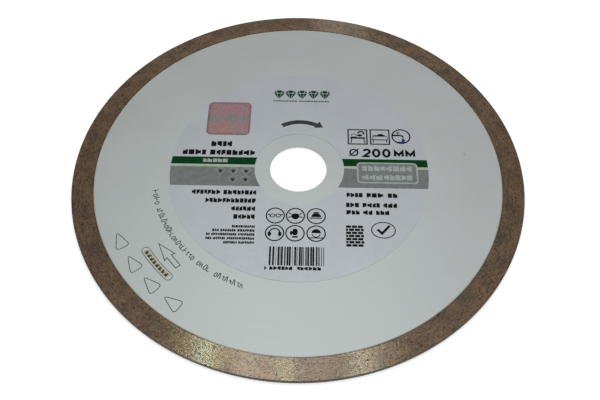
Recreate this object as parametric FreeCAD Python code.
# Continuous-rim diamond blade, 200 mm across, for wet cutting of tile and other hard ceramics.
#
# Millimetres. The origin is the centre of the arbor bore at half the blade's thickness. +Z is
# the blade's axis and points out of the labelled front face. +Y is the top of the print.
# Each function below makes one kind of piece, and each piece is written to its own STEP file.

import FreeCAD, Part
import math
import os

# ---- driving dimensions -------------------------------------------------------------------

BLADE_DIAMETER = 200.0      # over the diamond rim
BORE_DIAMETER = 25.4        # one-inch arbor
CORE_THICKNESS = 1.2        # ground steel disc
RIM_THICKNESS = 1.8         # 0.3 mm of side clearance on each face of the core
RIM_HEIGHT = 10.0           # radial height of the sintered ring, bond layer included
BOND_HEIGHT = 0.4           # the part of it that holds no diamond
BOND_RISE = 0.08            # how far the bond metal climbs the rim's inner wall

BORE_CHAMFER = 0.15         # deburred edges of the bore
FLANGE_SEAT_DIAMETER = 39.0 # bare ring round the bore, a face of its own, that a flange rests on
RIM_EDGE_CHAMFER = 0.12     # dressed outer corners of the rim

LABEL_DIAMETER = 116.0
LABEL_HOLE_DIAMETER = 40.0
LABEL_THICKNESS = 0.1
LABEL_OFFSET_X = 0.43       # the label is stuck on slightly off centre
LABEL_TURN = -0.5           # and slightly turned, degrees

STICKER_SIDE = 20.3
STICKER_CORNER = 2.5
STICKER_THICKNESS = 0.05
STICKER_CENTRE = (-32.8, 29.3)

CRYSTAL_WIDTH = 0.56        # across a diamond crystal's middle
CRYSTAL_FACE = 0.34         # across its flat ends
CRYSTAL_DEPTH = 0.46        # between its flat ends
CRYSTALS_PER_FACE = 90
CRYSTALS_ON_EDGE = 72
EDGE_EXPOSURE = 0.04        # how far the crystals stand out of the rim's outer edge

GOLDEN_ANGLE = 180.0 * (3.0 - math.sqrt(5.0))

# ---- sizes that follow from them ----------------------------------------------------------

RIM_OUTER = BLADE_DIAMETER / 2
CORE_OUTER = RIM_OUTER - RIM_HEIGHT
BOND_OUTER = CORE_OUTER + BOND_HEIGHT
MATRIX_OUTER = RIM_OUTER - EDGE_EXPOSURE
CORE_FACE = CORE_THICKNESS / 2
RIM_FACE = RIM_THICKNESS / 2

Z_AXIS = FreeCAD.Vector(0, 0, 1)
CENTRE = FreeCAD.Vector(0, 0, 0)


def turned(profile):
    """Turn a closed outline of (radius, height) points once round the blade's axis."""
    points = [FreeCAD.Vector(radius, 0, height) for radius, height in profile]
    outline = Part.makePolygon(points + points[:1])
    return Part.Face(outline).revolve(CENTRE, Z_AXIS, 360)


def mirrored_profile(upper):
    """Close an upper outline, listed from the inside out, with its mirror image below."""
    lower = [(radius, -height) for radius, height in reversed(upper)]
    return upper + lower


def steel_core():
    """The steel disc: flat faces, each with its flange seat, and a bore with broken corners."""
    bore = BORE_DIAMETER / 2
    upper = [
        (bore, CORE_FACE - BORE_CHAMFER),
        (bore + BORE_CHAMFER, CORE_FACE),
        (FLANGE_SEAT_DIAMETER / 2, CORE_FACE),
        (CORE_OUTER, CORE_FACE),
    ]
    return turned(mirrored_profile(upper))


def bond_layer():
    """The diamond-free ring, nearly level with the core, so the rim stands up as a step."""
    upper = [(CORE_OUTER, CORE_FACE), (BOND_OUTER, CORE_FACE + BOND_RISE)]
    return turned(mirrored_profile(upper))


def crystal():
    """One blocky diamond: two square frustums base to base, flat end at the origin, facing +Z."""
    levels = [(0.0, CRYSTAL_FACE), (-CRYSTAL_DEPTH / 2, CRYSTAL_WIDTH), (-CRYSTAL_DEPTH, CRYSTAL_FACE)]
    squares = [square_at(height, width / 2) for height, width in levels]
    faces = [flat_face(squares[0]), flat_face(squares[-1])]
    for upper, lower in zip(squares, squares[1:]):
        for k in range(4):
            nxt = (k + 1) % 4
            faces.append(flat_face([upper[k], upper[nxt], lower[nxt], lower[k]]))
    return Part.makeSolid(Part.makeShell(faces))


def square_at(height, half):
    """The corners of a square that lies flat at a height."""
    corners = [(-half, -half), (half, -half), (half, half), (-half, half)]
    return [FreeCAD.Vector(x, y, height) for x, y in corners]


def flat_face(corners):
    """A flat face through its corners."""
    return Part.Face(Part.makePolygon(corners + corners[:1]))


def crystal_on_face(seed, index, side):
    """A crystal set flush into one face of the rim, on a golden-angle spiral over the ring."""
    inner = BOND_OUTER + 2 * CRYSTAL_WIDTH
    outer = MATRIX_OUTER - 2 * CRYSTAL_WIDTH
    share = (index + 0.5) / CRYSTALS_PER_FACE
    radius = math.sqrt(inner ** 2 + share * (outer ** 2 - inner ** 2))
    angle = index * GOLDEN_ANGLE + (0 if side > 0 else GOLDEN_ANGLE / 2)
    piece = seed.copy()
    piece.rotate(CENTRE, Z_AXIS, 31.0 * index)
    if side < 0:
        piece.rotate(CENTRE, FreeCAD.Vector(1, 0, 0), 180)
    piece.translate(FreeCAD.Vector(radius, 0, side * RIM_FACE))
    piece.rotate(CENTRE, Z_AXIS, angle)
    return piece


def crystal_on_edge(seed, index):
    """A crystal seated in the rim's outer edge, standing out of it by the exposure."""
    step = 360.0 / CRYSTALS_ON_EDGE
    reach = RIM_FACE - CRYSTAL_WIDTH - RIM_EDGE_CHAMFER
    height = reach * math.sin(math.radians(index * GOLDEN_ANGLE))
    piece = seed.copy()
    piece.rotate(CENTRE, Z_AXIS, 17.0 * index)
    piece.rotate(CENTRE, FreeCAD.Vector(0, 1, 0), 90)
    piece.translate(FreeCAD.Vector(RIM_OUTER, 0, height))
    piece.rotate(CENTRE, Z_AXIS, index * step)
    return piece


def diamond_grit():
    """Every crystal that is modelled: flush in both faces, and proud of the outer edge."""
    seed = crystal()
    crystals = [crystal_on_edge(seed, index) for index in range(CRYSTALS_ON_EDGE)]
    for side in (1, -1):
        crystals += [crystal_on_face(seed, index, side) for index in range(CRYSTALS_PER_FACE)]
    return crystals


def diamond_rim(crystals):
    """The sintered ring, with a pocket for each crystal."""
    upper = [
        (BOND_OUTER, RIM_FACE),
        (MATRIX_OUTER - RIM_EDGE_CHAMFER, RIM_FACE),
        (MATRIX_OUTER, RIM_FACE - RIM_EDGE_CHAMFER),
    ]
    return turned(mirrored_profile(upper)).cut(crystals)


def printed_label():
    """The round paper label on the front face, with a hole that leaves the flange seat bare."""
    base = FreeCAD.Vector(LABEL_OFFSET_X, 0, CORE_FACE)
    disc = Part.makeCylinder(LABEL_DIAMETER / 2, LABEL_THICKNESS, base)
    hole = Part.makeCylinder(LABEL_HOLE_DIAMETER / 2, LABEL_THICKNESS, base)
    return disc.cut(hole)


def hologram_sticker():
    """The square foil sticker with round corners, on the label's upper left."""
    half = STICKER_SIDE / 2
    sheet = Part.makeBox(STICKER_SIDE, STICKER_SIDE, STICKER_THICKNESS, FreeCAD.Vector(-half, -half, 0))
    corners = [edge for edge in sheet.Edges if abs(edge.tangentAt(edge.FirstParameter).z) > 0.5]
    sheet = sheet.makeFillet(STICKER_CORNER, corners)
    sheet.rotate(CENTRE, Z_AXIS, LABEL_TURN)
    sheet.translate(FreeCAD.Vector(*STICKER_CENTRE, CORE_FACE + LABEL_THICKNESS))
    return sheet


def main():
    """Make every piece, write its STEP file and print its size."""
    crystals = diamond_grit()
    pieces = {
        "steel_core": steel_core(),
        "bond_layer": bond_layer(),
        "diamond_rim": diamond_rim(crystals),
        "diamond_grit": Part.makeCompound(crystals),
        "printed_label": printed_label(),
        "hologram_sticker": hologram_sticker(),
    }
    os.makedirs("parts", exist_ok=True)
    for node, shape in pieces.items():
        shape.exportStep(f"parts/{node}.step")
        box = shape.BoundBox
        extent = f"{box.XLength:.2f} x {box.YLength:.2f} x {box.ZLength:.2f} mm"
        print(f"{node}: {len(shape.Solids)} solids, valid {shape.isValid()}, {extent}, {shape.Volume:.1f} mm3")


main()
